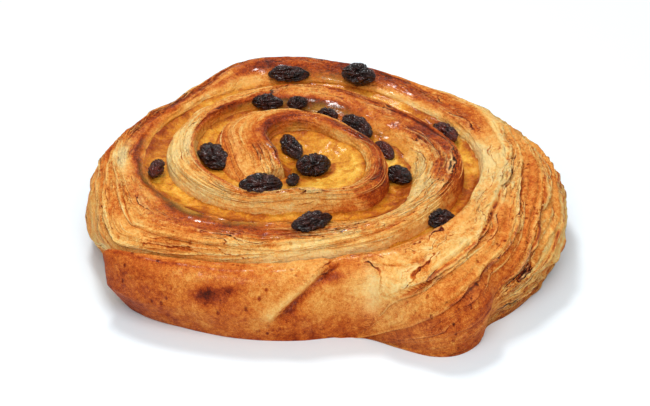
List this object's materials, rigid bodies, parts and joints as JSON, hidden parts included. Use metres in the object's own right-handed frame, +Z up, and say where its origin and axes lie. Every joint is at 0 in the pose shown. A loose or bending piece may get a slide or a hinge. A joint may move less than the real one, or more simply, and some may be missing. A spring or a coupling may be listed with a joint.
{
  "type": "raisin swirl pastry",
  "caption": "Flat round pastry of laminated dough rolled into an uneven swirl, with a custard seam and raisins half sunk in it, baked brown.",
  "frame": {"origin": "middle of the bounding box, on the face that the pastry rests on", "axes": "+Z up through the swirl, +X to the right as the picture shows it, -Y towards the front where the tail of the ribbon wraps round"},
  "size_m": [0.1188, 0.1046, 0.0293],
  "materials": {
    "dough": "baked laminated dough, egg-washed: glossy caramel on the ridges, dry and flaky pale gold on the walls",
    "custard": "baked custard, moist and slightly translucent",
    "raisin": "wrinkled dark raisin skin, glazed"
  },
  "bodies": {
    "root": {"dough": "dough", "custard": "custard", "raisin_01": "raisin", "raisin_02": "raisin", "raisin_03": "raisin", "raisin_04": "raisin", "raisin_05": "raisin", "raisin_06": "raisin", "raisin_07": "raisin", "raisin_08": "raisin", "raisin_09": "raisin", "raisin_10": "raisin", "raisin_11": "raisin", "raisin_12": "raisin", "raisin_13": "raisin", "raisin_14": "raisin", "raisin_15": "raisin", "raisin_16": "raisin", "raisin_17": "raisin"}
  },
  "joints": []
}
